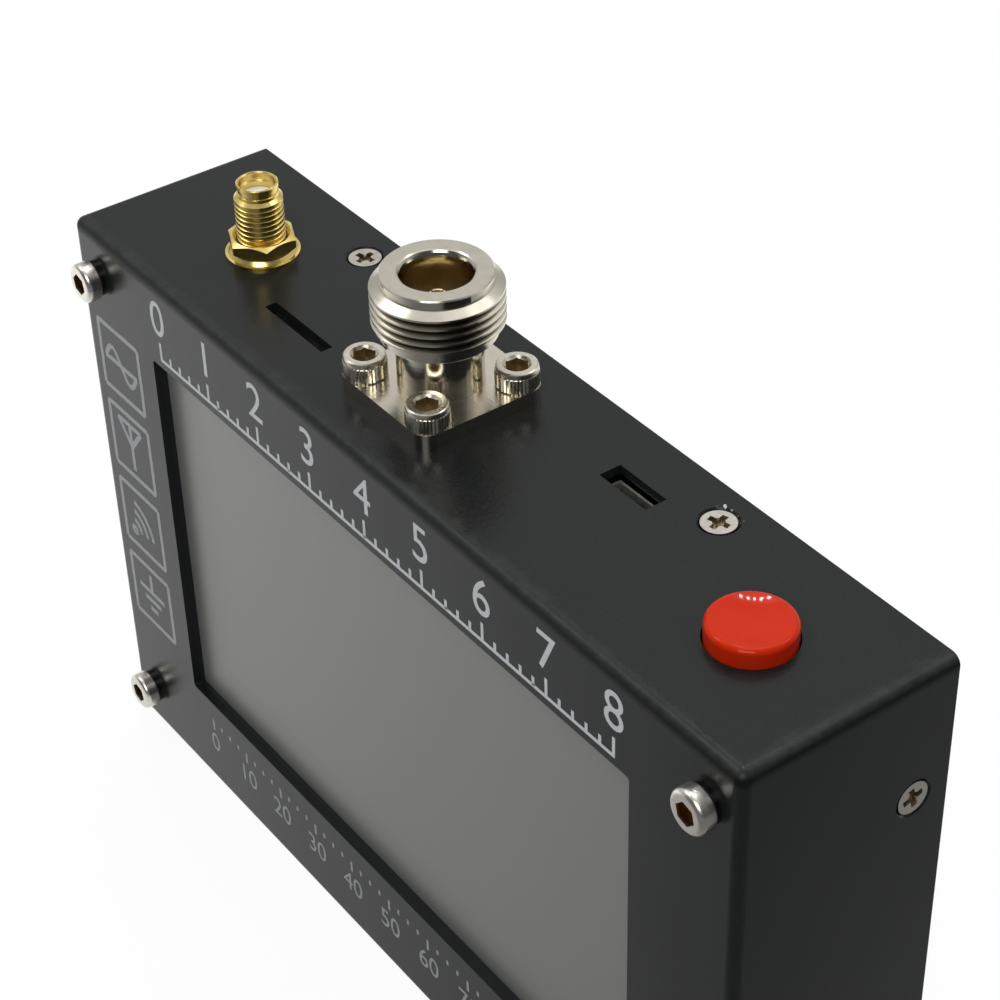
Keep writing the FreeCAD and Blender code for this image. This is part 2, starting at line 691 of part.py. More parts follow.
contact = contact.cut(rod(jack_x, jack_y, body_height + contact_top - 3.5, 0.82, 5))
for angle in (0, 90):
    slit = block(-2, 2, -0.12, 0.12, contact_top - 3.2, contact_top + 1)
    slit.rotate(point(0, 0, 0), Z, 10 + angle)
    slit.translate(point(jack_x, jack_y, body_height))
    contact = contact.cut(slit)
save("jack_contact", contact)

# cap screws through the flange, with nuts inside the case
cap_screws = []
jack_nuts = []
flange_top = body_height + flange_thickness
for x, y in flange_spots:
    head = rod(x, y, flange_top, cap_head_radius, cap_head_height)
    head = head.makeFillet(0.25, rim_circles(head, flange_top + cap_head_height))
    head = head.makeChamfer(0.3, rim_circles(head, flange_top))
    head = head.cut(hexagon(hex_socket_flats, 2, x, y, flange_top + 1.3, turn=-6))
    head = head.cut(Part.makeCone(0.3, 1.25, 0.4, point(x, y, flange_top + 0.9), Z))
    cap_screws.append(head.fuse(rod(x, y, flange_top - 8, 1.45, 8)).removeSplitter())
    jack_nut = chamfered_hexagon(5.5, 2.4).cut(rod(0, 0, -1, 1.5, 5))
    jack_nut.translate(point(x, y, top_inner - 2.4))
    jack_nuts.append(jack_nut)
save("jack_screws", group(cap_screws))
save("jack_nuts", group(jack_nuts))

# small jack: bulkhead body held by a washer and nut on the outside
sma_profile = [(0, -10), (1.9, -10), (1.9, -sheet - 2.0), (3.2, -sheet - 2.0)]
sma_profile += thread_corners(sma_thread_radius, 0.2, sma_thread_bottom, sma_thread_top, sma_pitch,
                              crest=0.5)
sma_profile += [(2.65, sma_thread_top + 0.25), (2.65, 8.86), (2.5, 8.9), (2.5, sma_height - 0.6)]
sma_profile += [(2.66, sma_height - 0.55), (2.66, sma_height - 0.1), (2.56, sma_height), (0, sma_height)]
sma_body = turned(sma_profile, sma_x, sma_y, body_height)
sma_flange = hexagon(8.0, 2.0, sma_x, sma_y, top_inner - 2.0, turn=0)
sma_body = sma_body.fuse(sma_flange)
sma_bore = [(0, -11), (1.1, -11), (1.1, 3.0), (2.1, 3.0), (2.1, 9.0), (2.3, 9.2)]
sma_bore += [(2.3, sma_height - 0.15), (2.45, sma_height), (2.45, sma_height + 1), (0, sma_height + 1)]
sma_body = sma_body.cut(turned(sma_bore, sma_x, sma_y, body_height))
save("sma_body", sma_body)
sma_face = sma_height - 1.9
sma_insulator = rod(sma_x, sma_y, body_height + 3.05, 2.05, sma_face - 3.05)
sma_insulator = sma_insulator.cut(rod(sma_x, sma_y, body_height, 0.7, 20))
save("sma_insulator", sma_insulator)
sma_contact = rod(sma_x, sma_y, body_height - 8.0, 0.65, sma_face + 8.0)
save("sma_contact", sma_contact.cut(rod(sma_x, sma_y, body_height + sma_face - 2.5, 0.47, 3)))
washer_profile = [(0, 0), (sma_washer_radius, 0), (sma_washer_radius, 0.35), (sma_washer_radius - 0.35, 0.4)]
washer_profile += [(sma_washer_radius - 0.75, sma_washer_thickness), (0, sma_washer_thickness)]
sma_washer = turned(washer_profile, sma_x, sma_y, body_height)
sma_hole = rod(sma_x, sma_y, body_height - 1, 3.25, 5)
save("sma_washer", sma_washer.cut(sma_hole))
sma_nut = chamfered_hexagon(sma_nut_flats, sma_nut_height, turn=36)
sma_nut.translate(point(sma_x, sma_y, body_height + sma_washer_thickness))
nut_top = body_height + sma_washer_thickness + sma_nut_height
countersink = Part.makeCone(3.25, 3.7, 0.45, point(sma_x, sma_y, nut_top - 0.45), Z)
save("sma_nut", sma_nut.cut([sma_hole, countersink]))

# coax leads from both jacks to small round plugs on the main board
plugs = []
board_sockets = []
plug_axis = main_board_front - 1.75
for node, start_x, start_y, start_z, end_x, end_z in (
        ("jack_coax", jack_x, jack_y, body_height - 7.55, 6.0, 58.0),
        ("sma_coax", sma_x, sma_y, body_height - 10.05, -50.0, 56.0)):
    entry_z = end_z + 3.6
    route = [point(start_x, start_y, start_z)]
    route.append(point(start_x, start_y, start_z - 4.5))
    route.append(point(end_x, plug_axis, entry_z + 4.5))
    route.append(point(end_x, plug_axis, entry_z))
    save(node, cable(route, 0.9))
    plug = rod(end_x, plug_axis - 0.75, end_z, 1.6, 1.2, Y)
    plug = plug.fuse(block(end_x - 1.1, end_x + 1.1, plug_axis - 0.75, plug_axis + 0.45,
                           end_z, entry_z - 0.05))
    plugs.append(plug.removeSplitter())
    board_sockets.append(rod(end_x, plug_axis + 0.5, end_z, 1.3, main_board_front - plug_axis - 0.5, Y))
save("coax_plugs", group(plugs))
save("coax_sockets", group(board_sockets))
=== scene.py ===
import json
import math
import bpy
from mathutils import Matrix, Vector


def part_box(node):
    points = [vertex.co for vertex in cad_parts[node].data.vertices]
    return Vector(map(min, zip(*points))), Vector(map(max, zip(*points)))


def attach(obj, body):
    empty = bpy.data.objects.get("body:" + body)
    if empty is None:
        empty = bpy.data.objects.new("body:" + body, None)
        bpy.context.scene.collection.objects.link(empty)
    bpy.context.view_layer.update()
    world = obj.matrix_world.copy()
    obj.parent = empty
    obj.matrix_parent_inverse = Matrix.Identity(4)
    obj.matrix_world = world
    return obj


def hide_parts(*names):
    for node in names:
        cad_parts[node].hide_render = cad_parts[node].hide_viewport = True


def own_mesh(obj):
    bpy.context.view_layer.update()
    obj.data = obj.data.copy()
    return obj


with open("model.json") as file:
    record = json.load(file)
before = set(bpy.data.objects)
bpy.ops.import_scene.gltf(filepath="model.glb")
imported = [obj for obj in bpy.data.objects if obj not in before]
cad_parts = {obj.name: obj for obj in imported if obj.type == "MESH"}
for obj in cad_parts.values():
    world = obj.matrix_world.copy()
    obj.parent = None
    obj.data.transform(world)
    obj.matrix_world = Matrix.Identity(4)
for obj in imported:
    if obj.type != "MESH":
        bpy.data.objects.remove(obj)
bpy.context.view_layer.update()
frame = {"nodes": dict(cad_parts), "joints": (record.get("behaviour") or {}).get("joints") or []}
bpy.ops.object.select_all(action="DESELECT")


# --- Studio: a wide pale table, a camera above the case's front right corner, and soft light. The
# table and the surround are white to the camera. In gloss the surround is brightest on the left, where
# the light comes from, and the table shows a painted pool of light, bright behind the case's left end
# and dim on the right. A row of seven small bulbs glints in the button.

class Shade:
    """A node's output. Arithmetic on it adds Math nodes, and put() adds any other node beside it."""

    def __init__(self, tree, socket=None):
        self.tree = tree
        self.socket = socket

    def put(self, kind, settings=None, inputs=None, out=0):
        node = self.tree.nodes.new(kind)
        for name, value in (settings or {}).items():
            setattr(node, name, value)
        for name, value in (inputs or {}).items():
            if isinstance(value, Shade):
                self.tree.links.new(value.socket, node.inputs[name])
            else:
                node.inputs[name].default_value = value
        return Shade(self.tree, node.outputs[out])

    def maths(self, operation, *values):
        return self.put("ShaderNodeMath", {"operation": operation}, dict(enumerate(values)))

    def __add__(self, other):
        return self.maths("ADD", self, other)

    def __sub__(self, other):
        return self.maths("SUBTRACT", self, other)

    def __rsub__(self, other):
        return self.maths("SUBTRACT", other, self)

    def __mul__(self, other):
        return self.maths("MULTIPLY", self, other)

    __radd__ = __add__
    __rmul__ = __mul__

    def fade(self, start, end):
        # 0 at start, 1 at end, smooth between
        return self.put("ShaderNodeMapRange", {"interpolation_type": "SMOOTHSTEP"},
                        {0: self, 1: start, 2: end, 3: 0.0, 4: 1.0})

    def choose(self, first, second):
        # the first value where this is 0, the second where it is 1
        return self.put("ShaderNodeMix", {"data_type": "FLOAT"}, {0: self, 2: first, 3: second})

    def tint(self, first, second):
        # the first colour where this is 0, the second where it is 1
        return self.put("ShaderNodeMix", {"data_type": "RGBA"}, {0: self, 6: first, 7: second}, 2)


def colour(red, green, blue):
    # a colour as a screen shows it, from 0 to 255, made linear
    shares = [value / 255 for value in (red, green, blue)]
    return [share / 12.92 if share < 0.04045 else ((share + 0.055) / 1.055) ** 2.4
            for share in shares] + [1.0]


class Finish:
    """A surface finish: fixed values on the shader's own sockets, and a grain over the piece."""

    def __init__(self, name, **fixed):
        self.material = bpy.data.materials.new(name)
        self.material.use_nodes = True
        self.tree = self.material.node_tree
        self.shader = self.tree.nodes["Principled BSDF"]
        self.root = Shade(self.tree)
        for socket, value in fixed.items():
            self.shader.inputs[socket.replace("_", " ")].default_value = value

    def place(self, stretch=(1, 1, 1), shift=(0, 0, 0)):
        spot = self.root.put("ShaderNodeTexCoord", out=3)
        return self.root.put("ShaderNodeMapping", None,
                             {"Vector": spot, "Scale": stretch, "Location": shift})

    def axes(self, shift=(0, 0, 0)):
        # x, y and z on the piece, each on its own
        spot = self.place((1, 1, 1), shift)
        return [self.root.put("ShaderNodeSeparateXYZ", None, {0: spot}, axis) for axis in range(3)]

    def distance(self, centre=(0, 0, 0)):
        # how far each point of the piece is from the centre
        spot = self.place((1, 1, 1), tuple(-side for side in centre))
        return self.root.put("ShaderNodeVectorMath", {"operation": "LENGTH"}, {0: spot}, 1)

    def noise(self, scale, detail=2.0, stretch=(1, 1, 1)):
        return self.root.put("ShaderNodeTexNoise", None,
                             {"Vector": self.place(stretch), "Scale": scale, "Detail": detail})

    def link(self, socket, value):
        self.tree.links.new(value.socket, self.shader.inputs[socket])

    def grain(self, shade, dark, light, smooth, rough, depth):
        # one grain for the colour, the gloss and the relief, whose depth is in metres
        self.link("Base Color", shade.tint(dark, light))
        self.link("Roughness", shade * (rough - smooth) + smooth)
        self.relief(shade, depth)

    def relief(self, height, depth):
        self.link("Normal", self.root.put("ShaderNodeBump", None, {"Strength": 1.0, "Distance": depth,
                                                                   "Height": height}))

    def dress(self, *nodes):
        # gives the finish to nodes that keep their shape
        for node in nodes:
            slots = frame["nodes"][node].data.materials
            slots.clear()
            slots.append(self.material)


table_size = 6.0
bpy.ops.mesh.primitive_plane_add(size=table_size, location=(0, 0, 0))
table = bpy.context.object
table.name = "table"
table_white = Finish("table_white", Base_Color=colour(225, 225, 225), Roughness=0.8)
table_grain = table_white.noise(40.0)
table_white.relief(table_grain, 0.00005)
ray = table_white.root.put("ShaderNodeLightPath")
seen_by_camera = Shade(table_white.tree, ray.socket.node.outputs["Is Camera Ray"])
seen_in_gloss = Shade(table_white.tree, ray.socket.node.outputs["Is Glossy Ray"])

# a painted pool of light on the table, seen only in gloss: dim in front of the case's right end,
# bright behind its left end
back_left = (-0.83, 0.55, 0)
to_back_left = table_white.root.put("ShaderNodeVectorMath", {"operation": "DOT_PRODUCT"},
                                    {0: table_white.place(), 1: back_left}, 1)
painted_light_pool = to_back_left.fade(-0.13, 0.14) * 1.15 + 0.12
backdrop = table_white.distance().fade(0.3, 1.2) * 0.09 + 1.03
white = seen_by_camera.choose(painted_light_pool, backdrop)
glow = table_white.root.put("ShaderNodeEmission", None, {"Color": white, "Strength": 1.0})
lit = Shade(table_white.tree, table_white.shader.outputs[0])
glow_share = seen_by_camera * 0.9 + seen_in_gloss * 0.9
shown = table_white.root.put("ShaderNodeMixShader", None, {0: glow_share, 1: lit, 2: glow})
table_white.tree.links.new(shown.socket, table_white.tree.nodes["Material Output"].inputs["Surface"])
table.data.materials.append(table_white.material)

eye = (0.19832, -0.13557, 0.25559)
look = [math.radians(angle) for angle in (52.510, 1.323, 53.646)]
bpy.ops.object.camera_add(location=eye, rotation=look)
camera = bpy.context.object
camera.data.lens = 91.49
camera.data.sensor_width = 36
camera.data.clip_start = 0.01
bpy.context.scene.camera = camera

surround = bpy.data.worlds.new("surround")
surround.use_nodes = True
bpy.context.scene.world = surround
air = Shade(surround.node_tree)
direction = air.put("ShaderNodeTexCoord")
window = Vector((-0.74, 0.60, 0.30)).normalized()
towards_light = air.put("ShaderNodeVectorMath", {"operation": "DOT_PRODUCT"},
                        {0: direction, 1: window}, 1)
steepness = air.put("ShaderNodeSeparateXYZ", None, {0: direction}, 2)
overhead = steepness.fade(0.40, 0.68) * 0.45 + 0.48
level = towards_light.fade(-0.35, 0.5) * overhead + 0.07
to_camera = air.put("ShaderNodeLightPath")
background = surround.node_tree.nodes["Background"]
surround.node_tree.links.new(to_camera.choose(level, 1.0).socket, background.inputs["Color"])

# each lamp's name, place, width and power
lamps = [("key_lamp", (-0.25, 0.3, 1.25), 0.6, 1.5),
         ("fill_lamp", (0.55, -0.65, 0.85), 0.6, 6.0),
         ("left_lamp", (-0.60, -0.40, 0.96), 0.3, 1.3),
         ("back_lamp", (0.20, 0.69, 0.96), 0.3, 0.9)]
row_x, row_y, row_height = -0.38, 0.38, 1.03
bulb_gap = 0.036
for bulb in range(7):
    along_row = (bulb - 3) * bulb_gap
    bulb_spot = (row_x + along_row, row_y + along_row, row_height)
    lamps.append(("bulb_%d" % (bulb + 1), bulb_spot, 0.02, 0.11))
case_middle = Vector((0, 0, 0.05))
for name, spot, width, power in lamps:
    bpy.ops.object.light_add(type="AREA", location=spot)
    lamp = bpy.context.object
    lamp.name = name
    lamp.data.size = width
    lamp.data.energy = power
    lamp.rotation_euler = (case_middle - Vector(spot)).to_track_quat("-Z", "Y").to_euler()

bpy.context.scene.view_settings.view_transform = "Standard"


# --- Case: a five-sided box folded from steel sheet, and a back plate set inside its rim.
# Both are powder coated in satin black, with painted shade in the bend along the top's front and
# right edges, a grey band above it that is partly rubbed wear and partly painted highlight, and a
# chip beside one cover screw.

case_low, case_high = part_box("front_shell")
case_top = case_high[2]
coat = Finish("powder_coat", IOR=1.285)
pebble = coat.noise(2600.0, 3.0)
cloud = coat.noise(45.0, 2.0)
fresh_paint = (pebble * 0.6 + cloud * 0.4).tint(colour(16, 18, 18), colour(33, 35, 35))
sideways, inward, up = coat.axes()

# a ragged band along the front and right edges: painted shade darkens the bend, and on top of it a
# grey band is partly rubbed wear and partly painted highlight
band_end, band_start = 0.0044, 0.0016
ragged = coat.noise(300.0, 5.0) * 0.0036
near_front = (inward + ragged).fade(case_low[1] + band_end, case_low[1] + band_start)
near_right = (sideways - ragged).fade(case_high[0] - band_end, case_high[0] - band_start)
near_edge = near_front.maths("MAXIMUM", near_front, near_right)
bend = near_edge * up.fade(case_top - 0.0021, case_top - 0.0014)
rubbed_and_highlit = up.fade(case_top - 0.0010, case_top - 0.0002)
scuff_and_highlight = near_edge * rubbed_and_highlit * (coat.noise(900.0, 3.0).fade(0.25, 0.75) * 0.6 + 0.3)
# painted shade in the bend's colour, then the grey band of wear and painted highlight over it
paint_with_bend_shade = (bend * (1 - rubbed_and_highlit) * 0.8).tint(fresh_paint, colour(4, 5, 5))
worn_and_highlit_paint = (scuff_and_highlight * 0.55).tint(paint_with_bend_shade, colour(64, 66, 66))

# a splinter-shaped chip behind the cover screw, and crumbs of bare metal at the screw's rim
chip_x, chip_y = 0.0329, 0.0120
chip_radius, chip_rim = 0.00062, 0.00070
chip_long = (sideways - chip_x) * -0.83 + (inward - chip_y) * 0.55
chip_wide = (sideways - chip_x) * 0.55 + (inward - chip_y) * 0.83
chip_taper = chip_wide * (2.0 - chip_long * 1500.0)
from_chip = chip_long.maths("SQRT", chip_long * chip_long + chip_taper * chip_taper)
chip_spot = 1 - (from_chip + coat.noise(2400.0, 3.0) * 0.0006).fade(chip_radius, chip_rim)
chip = chip_spot * up.fade(case_top - 0.0003, case_top - 0.0001)
screw_centre = (0.0345, 0.0097, case_top)
countersink_radius, crumb_reach = 0.0026, 0.0029
at_rim = 1 - coat.distance(screw_centre).fade(countersink_radius, crumb_reach)
behind_screw = inward.fade(0.0108, 0.0114)
crumbs = coat.noise(1900.0, 3.0).fade(0.58, 0.66) * at_rim * behind_screw * 0.6
bare = chip.maths("MAXIMUM", chip, crumbs)
coat.link("Base Color", bare.tint(worn_and_highlit_paint, colour(186, 186, 183)))
coat.link("Roughness", pebble * 0.08 + cloud * 0.05 + bend * 0.2 + 0.17)
coat.relief(pebble, 0.000015)
coat.dress("front_shell", "back_cover")


# --- Fasteners: countersunk cover screws, low hex-socket screws at the corners of the front with
# thin black washers, weld nuts, board pillars and board screws. The steel is zinc plated.

zinc = Finish("bright_zinc", Metallic=1.0)
zinc.grain(zinc.noise(1500.0, 3.0), colour(206, 200, 190), colour(234, 230, 222), 0.2, 0.38, 0.000004)
zinc.dress("weld_nuts", "board_screws")

cross = Finish("cross_head_zinc", Metallic=1.0)
cross_low, cross_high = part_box("cover_screws")
cross_x, _, cross_z = cross.axes()
# how far in from the nearest of the faces that the screw heads lie in
sunk = (cross_x - cross_low[0]).maths("MINIMUM", cross_x - cross_low[0], cross_high[0] - cross_x)
sunk = sunk.maths("MINIMUM", sunk, cross_high[2] - cross_z)
sunk = sunk.maths("MINIMUM", sunk, cross_z - cross_low[2])
# painted shade: the cross recess is coloured a dark brown that stands in for the shade inside it
recess_shade = sunk.fade(0.00012, 0.0004)
frost = cross.noise(1500.0, 3.0)
head_face = frost.tint(colour(174, 168, 158), colour(206, 201, 192))
cross.link("Base Color", recess_shade.tint(head_face, colour(146, 134, 112)))
cross.link("Roughness", frost * 0.15 + recess_shade * 0.1 + 0.25)
cross.relief(frost, 0.000004)
cross.dress("cover_screws")

oiled = Finish("oiled_zinc", Metallic=1.0)
oiled_low, oiled_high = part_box("front_screws")
front_head_radius = 0.0027
front_socket_radius = 0.0017
rows_middle = (oiled_low[2] + oiled_high[2]) / 2
screw_column = oiled_high[0] - front_head_radius
screw_row = (oiled_high[2] - oiled_low[2]) / 2 - front_head_radius
head_x, head_depth, head_z = oiled.axes((0, -oiled_low[1], -rows_middle))
aside = head_x.maths("ABSOLUTE", head_x) - screw_column
above = head_z.maths("ABSOLUTE", head_z) - screw_row
off_axis = aside.maths("SQRT", aside * aside + above * above)
# painted shade: the hex socket is coloured brown, for the shade down inside it
socket_shade = head_depth.fade(0.0001, 0.0004) * (1 - off_axis.fade(front_socket_radius, 0.0019))
satin = oiled.noise(900.0, 2.0)
bright = satin.tint(colour(212, 207, 198), colour(230, 226, 218))
oiled.link("Base Color", socket_shade.tint(bright, colour(150, 124, 88)))
oiled.link("Roughness", satin * 0.1 + 0.24)
oiled.relief(satin, 0.000002)
oiled.dress("front_screws")

pillar = Finish("pillar_nickel", Metallic=1.0)
pillar.grain(pillar.noise(900.0, 2.0, (1, 0.1, 1)), colour(190, 184, 168), colour(222, 217, 204),
             0.22, 0.4, 0.000005)
pillar.dress("front_standoffs", "rear_standoffs")

nylon = Finish("black_nylon", IOR=1.5)
nylon.grain(nylon.noise(1200.0), colour(7, 7, 8), colour(16, 16, 17), 0.14, 0.24, 0.000004)
nylon.dress("front_washers")


# --- Front print: a graduated scale over the window, a column of symbol cells beside it and a finer
# scale under it. Pale ink, screen printed on the paint, so it stands a few hundredths off it.

ink_depth = 0.00002
paint_face = case_low[1]


def bars(name, runs, width):
    # straight strokes from (x, z) to (x, z) in millimetres, as one piece; seven thicknesses take
    # turns, so that the faces of strokes that cross don't lie in one plane
    strokes = []
    for x0, z0, x1, z1 in runs:
        length = math.hypot(x1 - x0, z1 - z0)
        thick = ink_depth * (1 - 0.06 * (len(strokes) % 7))
        bpy.ops.mesh.primitive_cube_add(
            size=1, location=((x0 + x1) / 2000, paint_face - thick / 2, (z0 + z1) / 2000),
            rotation=(0, -math.atan2(z1 - z0, x1 - x0), 0), scale=(length / 1000, thick, width / 1000))
        strokes.append(bpy.context.object)
    return joined(strokes, name)


def joined(pieces, name):
    bpy.ops.object.select_all(action="DESELECT")
    for piece in pieces:
        piece.select_set(True)
    bpy.context.view_layer.objects.active = pieces[0]
    bpy.ops.object.join()
    bpy.ops.object.transform_apply(location=True, rotation=True, scale=True)
    whole = bpy.context.object
    whole.name = name
    bpy.ops.object.select_all(action="DESELECT")
    return whole


def numbers(name, marks, height):
    # plain numbers, each (text, x, z), centred there in millimetres
    figures = []
    for text, x, z in marks:
        bpy.ops.object.text_add(location=(x / 1000, paint_face - ink_depth / 2, z / 1000),
                                rotation=(math.pi / 2, 0, 0))
        figure = bpy.context.object
        figure.data.body = text
        figure.data.size = height / 1000
        figure.data.extrude = ink_depth / 2
        figure.data.align_x = "CENTER"
        figure.data.align_y = "CENTER"
        bpy.ops.object.convert(target="MESH")
        figures.append(bpy.context.object)
    return joined(figures, name)


def chain(spots):
    # the runs that join one spot to the next
    return [first + last for first, last in zip(spots, spots[1:])]


def arc(x, z, radius, start, end, steps=8):
    # runs round a centre, from one angle in degrees to another
    turns = [math.radians(start + (end - start) * step / steps) for step in range(steps + 1)]
    return chain([(x + radius * math.cos(turn), z + radius * math.sin(turn)) for turn in turns])


# upper scale, in millimetres: 0 to 8 on a base line, with five parts to each step
upper_left, upper_step, upper_steps = -46.0, 11.6, 8
base_line, line_overhang = 73.2, 0.2
long_tick, short_tick, number_rise = 2.6, 1.3, 6.0
upper_right = upper_left + upper_steps * upper_step
upper_runs = [(upper_left - line_overhang, base_line, upper_right + line_overhang, base_line)]
upper_marks = []
for step in range(upper_steps + 1):
    tick = upper_left + step * upper_step
    upper_runs.append((tick, base_line, tick, base_line + long_tick))
    upper_marks.append((str(step), tick, base_line + number_rise))
    for part in (1, 2, 3, 4):
        if step < upper_steps:
            part_tick = tick + part * upper_step / 5
            upper_runs.append((part_tick, base_line, part_tick, base_line + short_tick))
upper_scale = bars("upper_scale", upper_runs, width=0.5)
upper_numbers = numbers("upper_numbers", upper_marks, height=7.4)

# lower scale, in millimetres: 0 to 100, ticks hanging from one height, four parts to each step
lower_left, lower_step, lower_steps = -44.0, 8.8, 10
tick_top, tick_foot, part_foot, number_row = 12.6, 10.8, 11.8, 8.2
lower_runs = []
lower_marks = []
for step in range(lower_steps + 1):
    tick = lower_left + step * lower_step
    lower_runs.append((tick, tick_top, tick, tick_foot))
    lower_marks.append((str(step * 10), tick, number_row))
    if step < lower_steps:
        for part in (1, 2, 3):
            part_tick = tick + part * lower_step / 4
            lower_runs.append((part_tick, tick_top, part_tick, part_foot))
lower_scale = bars("lower_scale", lower_runs, width=0.45)
lower_numbers = numbers("lower_numbers", lower_marks, height=4.6)

# symbol cells, in millimetres, from the top down: a wave on its axis, an aerial, rings spreading
# from a dot, and an earth sign
cell_x, top_cell_z, cell_pitch = -58.2, 65.6, 13.2
cell_half, axis_margin = 5.2, 1.0
cell_runs = []
for row in range(4):
    cell_z = top_cell_z - row * cell_pitch
    left, right = cell_x - cell_half, cell_x + cell_half
    low, high = cell_z - cell_half, cell_z + cell_half
    cell_runs += [(left, low, right, low), (right, low, right, high),
                  (right, high, left, high), (left, high, left, low)]
    if row == 0:
        wave_steps, wave_height, wave_half = 16, 2.2, 4
        cell_runs += chain([(cell_x - wave_half + 2 * wave_half * step / wave_steps,
                             cell_z + wave_height * math.sin(2 * math.pi * step / wave_steps))
                            for step in range(wave_steps + 1)])
        cell_runs.append((left + axis_margin, cell_z, right - axis_margin, cell_z))
    elif row == 1:
        mast_top, mast_foot, aerial_half = cell_z + 3.6, cell_z - 4, 3
        aerial_left, aerial_right = cell_x - aerial_half, cell_x + aerial_half
        cell_runs += [(cell_x, mast_foot, cell_x, mast_top), (cell_x, cell_z, aerial_left, mast_top),
                      (cell_x, cell_z, aerial_right, mast_top),
                      (aerial_left, mast_top, aerial_right, mast_top)]
    elif row == 2:
        dot_x, dot_z, dot_radius = cell_x - 2.6, cell_z - 2.6, 0.6
        for ring_radius in (1.96, 3.64, 5.32):
            cell_runs += arc(dot_x, dot_z, ring_radius, 8, 82)
        cell_runs += arc(dot_x, dot_z, dot_radius, 0, 360)
    else:
        stem_top, first_bar = cell_z + 3.8, cell_z + 0.6
        cell_runs.append((cell_x, stem_top, cell_x, first_bar))
        for bar_half, bar_z in ((3.4, first_bar), (2.2, cell_z - 1.0), (1.0, cell_z - 2.6)):
            cell_runs.append((cell_x - bar_half, bar_z, cell_x + bar_half, bar_z))
symbol_cells = bars("symbol_cells", cell_runs, width=0.78)

upper_print = (upper_scale, upper_numbers)
lower_print = (symbol_cells, lower_scale, lower_numbers)
for name, pieces, dark, light in (
        ("pale_ink", upper_print, colour(170, 173, 176), colour(196, 199, 202)),
        ("grey_ink", lower_print, colour(128, 130, 133), colour(158, 160, 163))):
    ink = Finish(name)
    ink.grain(ink.noise(3000.0, 3.0), dark, light, 0.4, 0.6, 0.000004)
    for piece in pieces:
        piece.data.materials.clear()
        piece.data.materials.append(ink.material)
        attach(piece, "case")


# --- Screen: a resistive touch panel with a matt anti-glare film, set behind a black foam gasket
# that lines the window. The cell, its steel frame and its light lie behind the panel.

film = Finish("anti_glare_film", IOR=1.69)
film_grain = film.noise(5200.0, 2.0)
film_cloud = film.noise(18.0, 1.0)
film_shade = film_grain * 0.5 + film_cloud * 0.5
film.link("Base Color", film_shade.tint(colour(101, 102, 99), colour(113, 114, 110)))
film.link("Roughness", film_grain * 0.08 + 0.3)
film.relief(film_grain, 0.000002)
film.dress("touch_panel")

foam = Finish("gasket_foam")
foam.grain(foam.noise(1400.0, 3.0), colour(4, 5, 9), colour(14, 17, 24), 0.75, 0.95, 0.00003)
foam.dress("screen_gasket")

cell = Finish("display_cell", Coat_Weight=0.6)
cell.grain(cell.noise(700.0), colour(60, 63, 60), colour(74, 76, 72), 0.08, 0.16, 0.000001)
cell.dress("display_glass")

rolled = Finish("rolled_steel", Metallic=1.0)
rolled.grain(rolled.noise(500.0, 3.0, (1, 1, 0.08)), colour(150, 150, 148), colour(190, 190, 186),
             0.25, 0.45, 0.000004)
rolled.dress("display_frame", "card_socket")

guide = Finish("light_guide")
guide.grain(guide.noise(900.0), colour(214, 217, 214), colour(238, 239, 237), 0.35, 0.55, 0.000006)
guide.dress("backlight")

tape = Finish("foam_tape")
tape.grain(tape.noise(1300.0, 3.0), colour(196, 196, 190), colour(230, 230, 225), 0.8, 0.95, 0.00003)
tape.dress("display_tape", "battery_tape")


# --- Circuit boards: fibreglass with green solder mask over copper tracks and tinned pads.
# The display board hangs behind the screen, and the main board stands on pillars behind that.

mask = Finish("solder_mask")
weave = mask.noise(1600.0, 2.0)
tracks = mask.root.put("ShaderNodeTexVoronoi", {"feature": "DISTANCE_TO_EDGE"},
                       {"Vector": mask.place((1, 0.2, 1)), "Scale": 320.0})
pads = mask.root.put("ShaderNodeTexVoronoi", {"distance": "CHEBYCHEV"},
                     {"Vector": mask.place((1, 0.2, 1)), "Scale": 210.0})
on_track = 1 - tracks.fade(0.03, 0.05)
on_pad = 1 - pads.fade(0.10, 0.13)
green = weave.tint(colour(10, 62, 36), colour(16, 84, 48))
green = on_track.tint(green, colour(34, 118, 66))
mask.link("Base Color", on_pad.tint(green, colour(206, 204, 196)))
mask.link("Metallic", on_pad * 0.9)
mask.link("Roughness", weave * 0.12 + 0.26)
mask.relief(on_track + on_pad, 0.00002)
mask.dress("display_board", "main_board")

moulded = Finish("moulded_black")
moulded.grain(moulded.noise(1500.0, 3.0), colour(20, 20, 21), colour(38, 38, 39), 0.45, 0.7, 0.00001)
moulded.dress("controller_chip", "header_socket", "header_base", "signal_chips", "power_parts",
              "usb_tongue")

tinned = Finish("tinned_metal", Metallic=1.0)
tinned.grain(tinned.noise(800.0, 3.0), colour(182, 182, 178), colour(222, 221, 216), 0.2, 0.42, 0.000008)
tinned.dress("controller_legs", "shield_can", "switch_pins")

shell = Finish("drawn_shell", Metallic=0.85)
shell.grain(shell.noise(1300.0, 3.0), colour(150, 148, 142), colour(206, 204, 196), 0.3, 0.45, 0.000004)
shell.dress("usb_shell")

polyimide = Finish("ribbon_film", Coat_Weight=0.3)
strands = polyimide.root.put("ShaderNodeTexWave", {"bands_direction": "X"},
                             {"Vector": polyimide.place(), "Scale": 160.0})
polyimide.grain(strands, colour(150, 84, 20), colour(196, 128, 44), 0.25, 0.4, 0.00001)
polyimide.dress("display_ribbon", "touch_ribbon")

latch = Finish("connector_plastic")
latch.grain(latch.noise(900.0), colour(196, 184, 154), colour(220, 210, 184), 0.4, 0.6, 0.00001)
latch.dress("ribbon_connectors", "battery_socket", "battery_plug")


